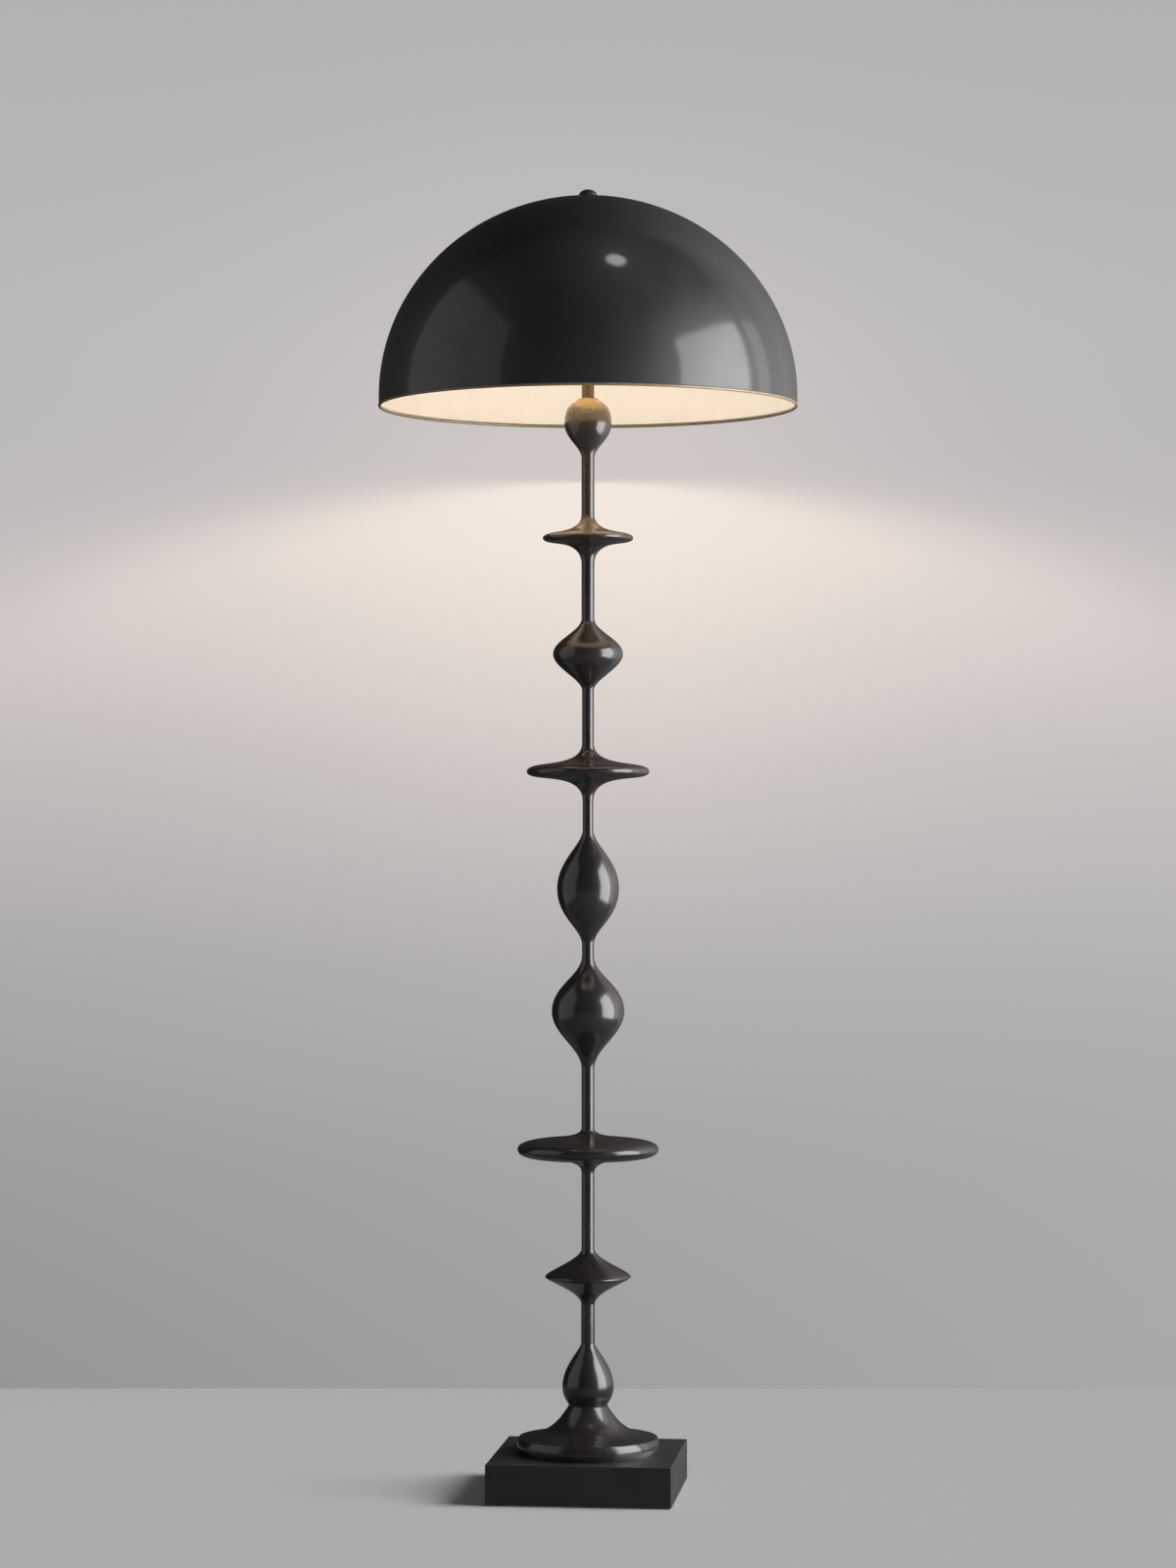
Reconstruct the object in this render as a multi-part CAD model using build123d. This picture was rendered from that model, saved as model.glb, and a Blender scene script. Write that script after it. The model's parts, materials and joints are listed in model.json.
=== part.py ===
from build123d import *
import os
from math import asin, cos, degrees, radians, sin, sqrt

os.makedirs("parts", exist_ok=True)

# Mushroom floor lamp, in millimetres. +Z is up and the origin is the middle of the footprint, on the floor.
# The front is -Y. The cord's inlet is in the back wall of the plinth, +Y.

# ---------------------------------------------------------------- driving sizes

# Fits
slip = 0.3  # radial gap of a piece that drops over the tube, a screw or the stud
running = 0.06  # radial gap of a turning or sliding fit, and of a thread
film = 0.05  # gap behind a coat or round a press-in piece

# Plinth: a folded steel cover over a cast iron weight, closed by a screwed plate on four pads
plinth_side = 222.0
plinth_height = 49.0
plinth_edge = 0.7
cover_wall = 2.0
pad_height = 1.5
pad_radius = 9.0
pad_inset = 16.0  # from the plinth's side to a pad's centre
plate_thickness = 2.0
plate_gap = 0.3
weight_gap = 9.0
weight_thickness = 18.0
boss_radius = 8.0
boss_inset = 30.0  # from the weight's side to a boss's centre
plate_screw_radius = 2.0
plate_screw_head_radius = 3.7
plate_screw_length = 12.0
plate_screw_drive = 1.2

# Cord inlet and the block that joins the supply to the inner lead
inlet_height = 16.0
inlet_bore_radius = 3.6
inlet_body_radius = 6.0
inlet_flange_radius = 9.0
inlet_flange = 2.5
inlet_nut_flats = 17.0
inlet_nut_height = 4.0
inlet_tail = 3.0
block_width = 26.0
block_depth = 20.0
block_height = 16.0
block_offset = 50.0  # from the lamp's axis to the block's middle
block_well_radius = 2.6
block_well_depth = 7.0
block_well_pitch = 12.0
lead_radius = 2.5
lead_rise = 5.0  # lead's centre above the bottom plate

# Tube that clamps everything between a nut under the weight and a nut under the harp
tube_radius = 4.9
tube_bore_radius = 3.5
tube_tail = 2.0
washer_radius = 12.0
washer_thickness = 1.5
nut_flats = 15.0
nut_height = 5.0
coupling_radius = 6.5
coupling_length = 24.0
coupling_gap = 1.0

# Foot: flared bell with a rounded edge band
foot_radius = 86.6
foot_sole_radius = 84.6
foot_crease_radius = 84.0
foot_band = 18.0
foot_height = 56.8
foot_neck_radius = 23.1
foot_wall = 6.0
foot_recess = 22.0

# Turned beads and discs, bottom to top: radius at the widest place, and height below and above it
teardrop_lower_radius = 31.0
teardrop_lower_below = 22.0
teardrop_lower_above = 53.2
teardrop_lower_seat = 23.7  # radius where it stands on the foot
bicone_radius = 51.9
bicone_below = 33.0
bicone_above = 34.0
saucer_large_radius = 85.4
saucer_large_below = 28.6
saucer_large_above = 25.4
onion_large_radius = 43.9
onion_large_below = 68.9
onion_large_above = 68.1
vase_radius = 37.5
vase_below = 69.2
vase_above = 70.8
saucer_medium_radius = 74.2
saucer_medium_below = 35.8
saucer_medium_above = 34.2
onion_small_radius = 42.4
onion_small_below = 43.9
onion_small_above = 43.1
saucer_small_radius = 54.8
saucer_small_below = 32.3
saucer_small_above = 28.7
teardrop_top_radius = 28.6
teardrop_top_below = 42.1
teardrop_top_above = 29.9
teardrop_top_crown = 12.5  # radius of its flat top
bead_chamfer = 0.7

# Necks between the beads, bottom to top
neck_1_length = 47.0
neck_2_length = 92.0
neck_3_length = 72.0
neck_4_length = 12.0
neck_5_length = 35.0
neck_6_length = 64.0
neck_7_length = 65.0
neck_8_length = 68.0
stout_neck_radius = 8.3
neck_radius = 7.8
slim_neck_radius = 7.2
thin_neck_radius = 6.5

# Head: stem, clamp nut and harp
stem_radius = 7.5
stem_length = 26.0
stack_nut_flats = 17.0
stack_nut_height = 5.0
saddle_width = 12.0
saddle_thickness = 2.0
leg_spacing = 57.0
post_height = 10.0
post_radius = 3.0
wire_radius = 1.7
harp_height = 207.0  # from the saddle's top to the seat of the shade
harp_bulge = 126.0  # width between the wires' centres at the widest place
harp_leg = 40.0  # straight start of the wire's polygon, above the saddle
harp_flare = 34.0
harp_shoulder = 52.0  # from the wire's top run down to its upper corner
harp_top_half = 36.0
harp_bend = 24.0
sleeve_height = 15.0
sleeve_collar = 3.0
sleeve_wall = 1.0
stud_block = 12.0
stud_block_height = 8.0
stud_radius = 3.1
stud_reach = 6.0  # above the finial's washer

# Socket, on the tube's upper end
hub_radius = 7.5
hub_height = 8.0
hub_thread_depth = 6.0
cap_height = 9.0
cap_wall = 0.8
cap_corner = 1.5
shell_radius = 17.4
shell_wall = 0.6
shell_height = 50.0
shell_drop = 7.0  # how far the shell reaches down into the cap
insulator_wall = 0.8
body_height = 22.0
body_lift = 1.0  # body's foot above the hub
screw_shell_play = 0.6  # radial room for the bulb's cap
screw_shell_wall = 0.4
screw_shell_height = 24.0
contact_height = 2.0
contact_radius = 4.0
terminal_screw_radius = 1.5
terminal_head_radius = 2.6
terminal_head_height = 1.6
terminal_depth = 5.0

# Rotary switch: a shaft through the socket's side, towards the front
switch_rise = 12.0  # shaft's axis above the body's foot
switch_shaft_radius = 1.5
switch_shaft_depth = 9.0
switch_shaft_reach = 15.0  # from the socket's shell to the shaft's end
switch_knob_radius = 4.5
switch_knob_length = 12.0
switch_knob_grip = 8.0  # length of shaft inside the knob
switch_flutes = 12
switch_flute_radius = 0.5

# Bulb
bulb_contact_radius = 4.6
bulb_contact_height = 1.0
bulb_insulator_height = 4.0
bulb_cap_radius = 12.9
bulb_cap_neck_radius = 9.0
bulb_cap_height = 20.0
bulb_thread_pitch = 3.6
bulb_thread_depth = 0.7
bulb_collar_radius = 21.0
bulb_collar_height = 24.0
bulb_globe_radius = 30.0
bulb_globe_below = 24.0  # from the globe's foot to its widest place
bulb_wall = 1.0

# Shade: half an ellipsoid with a flat crown, a short skirt and a rolled rim
shade_radius = 254.0
shade_height = 254.0
shade_skirt = 13.0
shade_wall = 1.2
shade_flat_radius = 20.0
rim_radius = 1.9
rim_proud = 0.8
lining_wall = 0.3
crown_plate_radius = 18.0
crown_plate_thickness = 1.5

# Finial
finial_washer_radius = 13.4
finial_washer_thickness = 1.6
finial_base_radius = 12.2
finial_radius = 11.0
finial_side = 2.2
finial_dome = 6.7
finial_hole_gap = 0.6  # above the stud's end

# ---------------------------------------------------------------- levels and radii that follow

plate_top = pad_height + plate_thickness
cover_ceiling = plinth_height - cover_wall
weight_bottom = cover_ceiling - weight_thickness
weight_side = plinth_side - 2 * (cover_wall + weight_gap)
plate_side = plinth_side - 2 * (cover_wall + plate_gap)
boss_place = weight_side / 2 - boss_inset
pad_place = plinth_side / 2 - pad_inset
washer_bottom = weight_bottom - washer_thickness
tube_bottom = washer_bottom - nut_height - tube_tail
lead_level = plate_top + lead_rise
tube_hole = tube_radius + slip
sleeve_bore = post_radius + slip
sleeve_radius = sleeve_bore + sleeve_wall
cap_radius = shell_radius + slip + cap_wall
insulator_radius = shell_radius - shell_wall - film
body_radius = insulator_radius - insulator_wall - slip
screw_shell_radius = bulb_cap_radius + screw_shell_play + screw_shell_wall


# ---------------------------------------------------------------- helpers


def turned(outline):
    """Revolves a closed outline, drawn as (radius, height), about the lamp's axis."""
    return revolve(Plane.XZ * make_face(outline), Axis.Z)


def turned_polygon(*points):
    """Revolves a straight-sided outline about the lamp's axis."""
    return turned([Polyline(*points, close=True)])


def ring(bottom, height, outer, inner=0.0):
    """A plain tube or disc about the lamp's axis."""
    solid = extrude(Pos(0, 0, bottom) * Circle(outer), height)
    if inner > 0:
        solid -= extrude(Pos(0, 0, bottom) * Circle(inner), height)
    return solid


def hex_nut(bottom, height, flats, hole):
    """A hexagonal nut about the lamp's axis."""
    face = RegularPolygon(flats / 2, 6, major_radius=False) - Circle(hole)
    return extrude(Pos(0, 0, bottom) * face, height)


def bead_curve(end_radius, end_z, belly_radius, belly_z, end_pull, belly_pull, lean=90.0):
    """Half of a bead's side: it leaves its end at the lean and meets the belly upright."""
    reach = abs(belly_z - end_z)
    rise = 1 if belly_z > end_z else -1
    end_handle = (
        end_radius + end_pull * reach * cos(radians(lean)),
        end_z + rise * end_pull * reach * sin(radians(lean)),
    )
    belly_handle = (belly_radius, belly_z - rise * belly_pull * reach)
    return Bezier((end_radius, end_z), end_handle, belly_handle, (belly_radius, belly_z))


# ---------------------------------------------------------------- plinth


def four_corners(place):
    """The four places at plus and minus the same distance along X and Y."""
    return [(x, y) for x in (-place, place) for y in (-place, place)]


def base_shell():
    """Square cover, open below, with holes for the tube and the inlet."""
    height = plinth_height - pad_height
    inner = plinth_side - 2 * cover_wall
    cover = Pos(0, 0, pad_height + height / 2) * Box(plinth_side, plinth_side, height)
    outer_edges = cover.edges().filter_by(Axis.Z) + cover.faces().sort_by(Axis.Z)[-1].edges()
    cover = chamfer(outer_edges, plinth_edge)
    cover -= Pos(0, 0, (pad_height + cover_ceiling) / 2) * Box(inner, inner, cover_ceiling - pad_height)
    cover -= ring(cover_ceiling, cover_wall, tube_hole)
    inlet = Pos(0, plinth_side / 2 - cover_wall / 2, inlet_height) * Rot(-90, 0, 0)
    return cover - inlet * Cylinder(inlet_body_radius + slip, 2 * cover_wall)


def base_weight():
    """Iron slab under the cover's top, with bosses that carry the bottom plate."""
    slab = Pos(0, 0, weight_bottom + weight_thickness / 2) * Box(weight_side, weight_side, weight_thickness)
    slab = chamfer(slab.edges().filter_by(Axis.Z), boss_radius)
    boss_height = weight_bottom - plate_top
    for x, y in four_corners(boss_place):
        slab += Pos(x, y, 0) * ring(plate_top, boss_height, boss_radius)
    for x, y in four_corners(boss_place):
        slab -= Pos(x, y, 0) * ring(plate_top, plate_screw_length, plate_screw_radius + running)
    return slab - ring(weight_bottom, weight_thickness, tube_hole)


def screw_profile(gap):
    """Countersunk screw's outline from its head, flush with the plate's underside."""
    head = plate_screw_head_radius + gap
    shank = plate_screw_radius + gap
    top = pad_height + plate_screw_length
    return turned_polygon(
        (0, pad_height), (head, pad_height), (shank, pad_height + head - shank), (shank, top), (0, top)
    )


def bottom_plate():
    """Sheet that closes the plinth from below."""
    plate = Pos(0, 0, pad_height + plate_thickness / 2) * Box(plate_side, plate_side, plate_thickness)
    for x, y in four_corners(boss_place):
        plate -= Pos(x, y, 0) * screw_profile(film)
    return plate


def bottom_plate_screws():
    """Four countersunk screws, each with a cross drive."""
    slot_length = 2 * plate_screw_radius
    screws = Part()
    for x, y in four_corners(boss_place):
        screw = screw_profile(0)
        for turn in (0, 90):
            slot = Box(slot_length, plate_screw_drive / 2, plate_screw_drive)
            screw -= Pos(0, 0, pad_height + plate_screw_drive / 2) * Rot(0, 0, turn) * slot
        screws += Pos(x, y, 0) * screw
    return screws


def foot_pads():
    """Four round pads that the plinth stands on."""
    pads = Part()
    for x, y in four_corners(pad_place):
        pads += Pos(x, y, 0) * ring(0, pad_height, pad_radius)
    return pads


def at_inlet(solid):
    """Places a solid drawn about Z so that its +Z leaves the plinth's back wall along +Y."""
    return Pos(0, plinth_side / 2, inlet_height) * Rot(-90, 0, 0) * solid


def cord_bushing():
    """Flanged bushing through the back wall, with a rounded mouth."""
    inner_end = -(cover_wall + inlet_nut_height + inlet_tail)
    bushing = ring(inner_end, -inner_end, inlet_body_radius) + ring(0, inlet_flange, inlet_flange_radius)
    bushing -= ring(inner_end, inlet_flange - inner_end, inlet_bore_radius)
    outer_rim = bushing.faces().sort_by(Axis.Z)[-1].edges().sort_by(SortBy.LENGTH)[-1]
    return at_inlet(fillet(outer_rim, inlet_flange / 3))


def cord_bushing_nut():
    """Nut that holds the bushing from inside the wall."""
    bottom = -cover_wall - inlet_nut_height
    return at_inlet(hex_nut(bottom, inlet_nut_height, inlet_nut_flats, inlet_body_radius + running))


def terminal_block():
    """Two-pole block on the bottom plate, with two screw wells."""
    block = Pos(0, block_offset, plate_top + block_height / 2) * Box(block_width, block_depth, block_height)
    for x in (-block_well_pitch / 2, block_well_pitch / 2):
        well = ring(plate_top + block_height - block_well_depth, block_well_depth, block_well_radius)
        block -= Pos(x, block_offset, 0) * well
    return block


def inner_lead(top):
    """Lead from the terminal block, under the tube and up its whole length."""
    start = (0, block_offset - block_depth / 2, lead_level)
    path = FilletPolyline(start, (0, 0, lead_level), (0, 0, top), radius=tube_bottom - lead_level)
    return sweep(Plane(origin=start, z_dir=(0, -1, 0)) * Circle(lead_radius), path=path)


# ---------------------------------------------------------------- column


def foot_bell(bottom):
    """Flared foot: rounded band, crease, then a hollow flare up to its neck."""
    crease_z = bottom + foot_band
    top = bottom + foot_height
    flare_rise = top - crease_z
    flare_run = foot_crease_radius - foot_neck_radius
    flare = Bezier(
        (foot_crease_radius, crease_z),
        (foot_crease_radius - 0.4 * flare_run, crease_z + 0.12 * flare_rise),
        (foot_neck_radius + 0.34 * flare_run, crease_z + 0.12 * flare_rise),
        (foot_neck_radius, top),
    )
    band_middle = (foot_radius, bottom + 0.45 * foot_band)
    recess_radius = foot_crease_radius - foot_wall
    recess_top = (tube_hole + foot_wall, bottom + foot_recess)
    recess_side = (recess_radius, bottom + foot_band - foot_wall)
    return turned(
        [
            ThreePointArc((foot_sole_radius, bottom), band_middle, (foot_crease_radius, crease_z)),
            flare,
            Polyline((foot_neck_radius, top), (tube_hole, top), (tube_hole, bottom), (recess_top[0], bottom)),
            Polyline((recess_top[0], bottom), recess_top, recess_side, (recess_radius, bottom)),
            Line((recess_radius, bottom), (foot_sole_radius, bottom)),
        ]
    )


def bead(bottom, belly, below, above, end_below, end_above, curve_below, curve_above):
    """A turned bead, bored for the tube. Its ends have the radius of what it meets."""
    belly_z = bottom + below
    top = belly_z + above
    return turned(
        [
            Line((tube_hole, bottom), (end_below, bottom)),
            bead_curve(end_below, bottom, belly, belly_z, *curve_below),
            bead_curve(end_above, top, belly, belly_z, *curve_above),
            Polyline((end_above, top), (tube_hole, top), (tube_hole, bottom)),
        ]
    )


# Beads, bottom to top: name, widest radius, height below and above, then each side's curve.
# A curve is its pull at the end and at the belly, as shares of its height, and its lean at the end.
beads = [
    ("teardrop_lower", teardrop_lower_radius, teardrop_lower_below, teardrop_lower_above,
     (0.18, 0.62), (0.15, 0.49)),
    ("bicone_disc", bicone_radius, bicone_below, bicone_above,
     (0.44, 0.12), (0.38, 0.18)),
    ("saucer_large", saucer_large_radius, saucer_large_below, saucer_large_above,
     (0.88, 0.72), (0.67, 0.70)),
    ("onion_large", onion_large_radius, onion_large_below, onion_large_above,
     (0.36, 0.40), (0.36, 0.48)),
    ("vase_bead", vase_radius, vase_below, vase_above,
     (0.31, 0.53), (0.25, 0.48)),
    ("saucer_medium", saucer_medium_radius, saucer_medium_below, saucer_medium_above,
     (1.06, 0.43), (0.93, 0.44)),
    ("onion_small", onion_small_radius, onion_small_below, onion_small_above,
     (0.30, 0.38), (0.36, 0.41)),
    ("saucer_small", saucer_small_radius, saucer_small_below, saucer_small_above,
     (1.07, 0.33), (0.90, 0.36)),
    ("teardrop_top", teardrop_top_radius, teardrop_top_below, teardrop_top_above,
     (0.32, 0.44), (0.29, 0.77, 48.0)),
]

# Necks, bottom to top: length and radius.
necks = [
    (neck_1_length, stout_neck_radius),
    (neck_2_length, neck_radius),
    (neck_3_length, neck_radius),
    (neck_4_length, slim_neck_radius),
    (neck_5_length, thin_neck_radius),
    (neck_6_length, slim_neck_radius),
    (neck_7_length, neck_radius),
    (neck_8_length, neck_radius),
]


def build_column():
    """The foot, then beads and necks in turn. Returns the pieces and the level of each one's foot."""
    pieces = {"foot_bell": foot_bell(plinth_height)}
    levels = {"foot_bell": plinth_height}
    level = plinth_height + foot_height
    end_radii = [teardrop_lower_seat] + [radius for _, radius in necks] + [teardrop_top_crown]
    for index, (name, belly, below, above, curve_below, curve_above) in enumerate(beads):
        ends = (end_radii[index], end_radii[index + 1])
        pieces[name] = bead(level, belly, below, above, *ends, curve_below, curve_above)
        levels[name] = level
        level += below + above
        if index < len(necks):
            length, radius = necks[index]
            neck = f"neck_{index + 1}"
            pieces[neck] = ring(level, length, radius, tube_hole)
            levels[neck] = level
            level += length
    return pieces, levels, level


column, column_levels, column_top = build_column()

# The tube's two lengths meet inside the large onion, which is bored out for their coupling from below.
coupling_bottom = column_levels["onion_large"] + coupling_gap
tube_joint = coupling_bottom + coupling_length / 2
coupling_room = coupling_length + 2 * coupling_gap
column["onion_large"] -= ring(column_levels["onion_large"], coupling_room, coupling_radius + slip)
teardrop_foot = column["teardrop_lower"].edges().sort_by(Axis.Z)[0:2].sort_by(SortBy.LENGTH)[-1]
column["teardrop_lower"] = chamfer(teardrop_foot, bead_chamfer)

# ---------------------------------------------------------------- levels of the head

stem_top = column_top + stem_length
saddle_bottom = stem_top + stack_nut_height
saddle_top = saddle_bottom + saddle_thickness
hub_top = saddle_top + hub_height
tube_top = saddle_top + hub_thread_depth
seat_level = saddle_top + harp_height
post_top = saddle_top + post_height
socket_body_bottom = hub_top + body_lift
socket_body_top = socket_body_bottom + body_height
cap_top = hub_top + cap_height
shell_bottom = cap_top - shell_drop
shell_top = shell_bottom + shell_height
switch_level = socket_body_bottom + switch_rise
bulb_bottom = socket_body_top + contact_height
lining_top = seat_level + crown_plate_thickness + lining_wall
crown_top = lining_top + film + shade_wall
rim_bottom = crown_top - shade_height
washer_top = crown_top + finial_washer_thickness
stud_top = washer_top + stud_reach

# ---------------------------------------------------------------- tube and its fasteners


def lamp_pipe(bottom, top):
    """A length of the threaded tube."""
    return ring(bottom, top - bottom, tube_radius, tube_bore_radius)


def pipe_coupling():
    """Sleeve nut round the joint of the two tube lengths."""
    return ring(coupling_bottom, coupling_length, coupling_radius, tube_radius + running)


# ---------------------------------------------------------------- harp


def harp_saddle():
    """Flat bar under the socket with an upright post for each harp leg."""
    length = leg_spacing + 2 * sleeve_radius
    bar = Pos(0, 0, saddle_bottom + saddle_thickness / 2) * Box(length, saddle_width, saddle_thickness)
    bar = fillet(bar.edges().filter_by(Axis.Z), sleeve_radius)
    for x in (-leg_spacing / 2, leg_spacing / 2):
        bar += Pos(x, 0, 0) * ring(saddle_top, post_height, post_radius)
    return bar - ring(saddle_bottom, saddle_thickness, tube_hole)


def harp_wire():
    """Two bent wires from the saddle's posts to the sides of the stud block."""
    top_run = seat_level - stud_block_height / 2
    half_bulge = harp_bulge / 2
    wires = Part()
    for side in (-1, 1):
        path = FilletPolyline(
            (side * leg_spacing / 2, 0, post_top),
            (side * leg_spacing / 2, 0, saddle_top + harp_leg),
            (side * half_bulge, 0, saddle_top + harp_leg + harp_flare),
            (side * half_bulge, 0, top_run - harp_shoulder),
            (side * harp_top_half, 0, top_run),
            (side * stud_block / 2, 0, top_run),
            radius=harp_bend,
        )
        start = Plane(origin=(side * leg_spacing / 2, 0, post_top), z_dir=(0, 0, 1))
        wires += sweep(start * Circle(wire_radius), path=path)
    return wires


def harp_sleeve(side):
    """Ferrule over a post and the foot of its wire: a close collar above a wider skirt."""
    sleeve = ring(saddle_top, sleeve_height, sleeve_radius, wire_radius + running)
    sleeve -= ring(saddle_top, sleeve_height - sleeve_collar, sleeve_bore)
    rims = sleeve.edges().filter_by(GeomType.CIRCLE).sort_by(SortBy.LENGTH)[-2:]
    return Pos(side * leg_spacing / 2, 0, 0) * chamfer(rims, sleeve_wall / 2)


def harp_top_stud():
    """Block that the wires meet, its flat seat for the shade and the threaded stud."""
    bottom = seat_level - stud_block_height
    block = Pos(0, 0, bottom + stud_block_height / 2) * Box(stud_block, stud_block, stud_block_height)
    block = chamfer(block.edges().filter_by(Axis.Z), stud_block / 8)
    return block + ring(seat_level, stud_top - seat_level, stud_radius)


# ---------------------------------------------------------------- socket and switch


def at_switch(solid):
    """Places a solid drawn about Z so that its +Z points to the front from the lamp's axis."""
    return Pos(0, 0, switch_level) * Rot(90, 0, 0) * solid


def socket_cap():
    """Cup on the tube's end: a threaded hub below a wide thin cup with a bevelled foot."""
    hub = ring(saddle_top, hub_height, hub_radius)
    hub -= ring(saddle_top, hub_thread_depth, tube_radius + running)
    floor_z = hub_top - cap_wall
    inner = cap_radius - cap_wall
    cup = turned_polygon(
        (0, floor_z),
        (cap_radius - cap_corner, floor_z),
        (cap_radius, floor_z + cap_corner),
        (cap_radius, cap_top),
        (inner, cap_top),
        (inner, hub_top + cap_corner),
        (inner - cap_corner, hub_top),
        (0, hub_top),
    )
    return hub + cup - ring(saddle_top, hub_height, lead_radius + slip)


def socket_shell():
    """Outer tube of the socket, inside the cap's mouth, with a hole for the switch."""
    shell = ring(shell_bottom, shell_height, shell_radius, shell_radius - shell_wall)
    return shell - at_switch(ring(body_radius, cap_radius, switch_shaft_radius + slip))


def socket_insulator():
    """Liner between the shell and the live parts."""
    liner = ring(shell_bottom, shell_height, insulator_radius, insulator_radius - insulator_wall)
    return liner - at_switch(ring(0, cap_radius, switch_shaft_radius + slip))


def socket_body():
    """Moulded body, bored for the switch shaft, the terminal screws and the lead."""
    body = ring(socket_body_bottom, body_height, body_radius)
    shaft_hole = ring(body_radius - switch_shaft_depth, switch_shaft_depth, switch_shaft_radius + running)
    body -= at_switch(shaft_hole)
    for x in (-1, 1):
        hole = Cylinder(terminal_screw_radius + running, 2 * terminal_depth)
        body -= Pos(x * body_radius, 0, switch_level) * Rot(0, 90, 0) * hole
        recess = Cylinder(terminal_head_radius + slip, 2 * terminal_head_height)
        body -= Pos(x * body_radius, 0, switch_level) * Rot(0, 90, 0) * recess
    return body


def terminal_screws():
    """One screw on each side of the body."""
    screws = Part()
    for side in (-1, 1):
        head = ring(body_radius - terminal_head_height, terminal_head_height, terminal_head_radius)
        shank_length = terminal_depth - terminal_head_height
        shank = ring(body_radius - terminal_depth, shank_length, terminal_screw_radius)
        screws += Pos(0, 0, switch_level) * Rot(0, side * 90, 0) * (head + shank)
    return screws


def screw_shell():
    """Thin threaded cup that takes the bulb's cap."""
    bore = screw_shell_radius - screw_shell_wall
    return ring(socket_body_top, screw_shell_height, screw_shell_radius, bore)


def centre_contact():
    """Contact at the bottom of the screw shell."""
    return ring(socket_body_top, contact_height, contact_radius)


def switch_shaft():
    """Shaft from inside the body to inside the knob."""
    inner_end = body_radius - switch_shaft_depth
    return at_switch(ring(inner_end, shell_radius + switch_shaft_reach - inner_end, switch_shaft_radius))


def switch_knob():
    """Fluted knob with a rounded end."""
    start = shell_radius + switch_shaft_reach - switch_knob_grip
    knob = ring(start, switch_knob_length, switch_knob_radius)
    end_rim = knob.edges().filter_by(GeomType.CIRCLE).sort_by(Axis.Z)[-1]
    knob = fillet(end_rim, switch_knob_radius / 3)
    for index in range(switch_flutes):
        turn = Rot(0, 0, index * 360 / switch_flutes)
        knob -= turn * Pos(switch_knob_radius, 0, 0) * ring(start, switch_knob_length, switch_flute_radius)
    return at_switch(knob - ring(start, switch_knob_grip, switch_shaft_radius))


# ---------------------------------------------------------------- bulb


def bulb_pieces():
    """The bulb from its contact up: contact, insulator, threaded cap, collar and hollow globe."""
    insulator_bottom = bulb_bottom + bulb_contact_height
    cap_bottom = insulator_bottom + bulb_insulator_height
    cap_end = cap_bottom + bulb_cap_height
    collar_top = cap_end + bulb_collar_height
    widest = collar_top + bulb_globe_below
    insulator = turned_polygon(
        (0, insulator_bottom),
        (bulb_contact_radius, insulator_bottom),
        (bulb_cap_neck_radius, cap_bottom),
        (0, cap_bottom),
    )
    cap = turned_polygon(
        (0, cap_bottom),
        (bulb_cap_neck_radius, cap_bottom),
        (bulb_cap_radius, cap_bottom + bulb_cap_radius - bulb_cap_neck_radius),
        (bulb_cap_radius, cap_end),
        (0, cap_end),
    )
    turns = int((bulb_cap_height - (bulb_cap_radius - bulb_cap_neck_radius)) / bulb_thread_pitch)
    for turn in range(turns):
        groove_z = cap_end - (turn + 0.75) * bulb_thread_pitch
        cap -= Pos(0, 0, groove_z) * Torus(bulb_cap_radius + bulb_thread_depth / 2, bulb_thread_depth)
    collar = turned(
        [
            Line((0, cap_end), (bulb_cap_radius, cap_end)),
            bead_curve(bulb_cap_radius, cap_end, bulb_collar_radius, collar_top, 0.5, 0.3),
            Polyline((bulb_collar_radius, collar_top), (0, collar_top), (0, cap_end)),
        ]
    )
    inner_globe = bulb_globe_radius - bulb_wall
    globe = turned(
        [
            bead_curve(bulb_collar_radius, collar_top, bulb_globe_radius, widest, 0.3, 0.5),
            RadiusArc((bulb_globe_radius, widest), (0, widest + bulb_globe_radius), -bulb_globe_radius),
            Line((0, widest + bulb_globe_radius), (0, widest + inner_globe)),
            RadiusArc((inner_globe, widest), (0, widest + inner_globe), -inner_globe),
            bead_curve(bulb_collar_radius - bulb_wall, collar_top, inner_globe, widest, 0.3, 0.5),
            Line((bulb_collar_radius - bulb_wall, collar_top), (bulb_collar_radius, collar_top)),
        ]
    )
    return {
        "bulb_contact": ring(bulb_bottom, bulb_contact_height, bulb_contact_radius),
        "bulb_insulator": insulator,
        "bulb_cap": cap,
        "bulb_collar": collar,
        "bulb_globe": globe,
    }


# ---------------------------------------------------------------- shade and finial

dome_centre = rim_bottom + shade_skirt
dome_radius = shade_radius - rim_proud
dome_rise = (crown_top - dome_centre) / sqrt(1 - (shade_flat_radius / dome_radius) ** 2)


def dome_arc(depth):
    """The dome's arc at a depth under its outer face, from its side up to the flat crown."""
    radius = dome_radius - depth
    rise = dome_rise - depth
    crown_share = (crown_top - depth - dome_centre) / rise
    round_arc = CenterArc((0, 0), radius, 0, degrees(asin(crown_share)))
    return Pos(0, dome_centre) * scale(round_arc, by=(1, rise / radius, 1))


def coat_outline(outer_depth, inner_depth, foot, hole):
    """Closed outline of a coat of the dome between two depths, down to its foot."""
    outer = dome_arc(outer_depth)
    inner = dome_arc(inner_depth)
    crown = Polyline(outer @ 1, (hole, (outer @ 1).Y), (hole, (inner @ 1).Y), inner @ 1)
    skirt = Polyline(outer @ 0, ((outer @ 0).X, foot), ((inner @ 0).X, foot), inner @ 0)
    return [outer, crown, inner, skirt]


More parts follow.
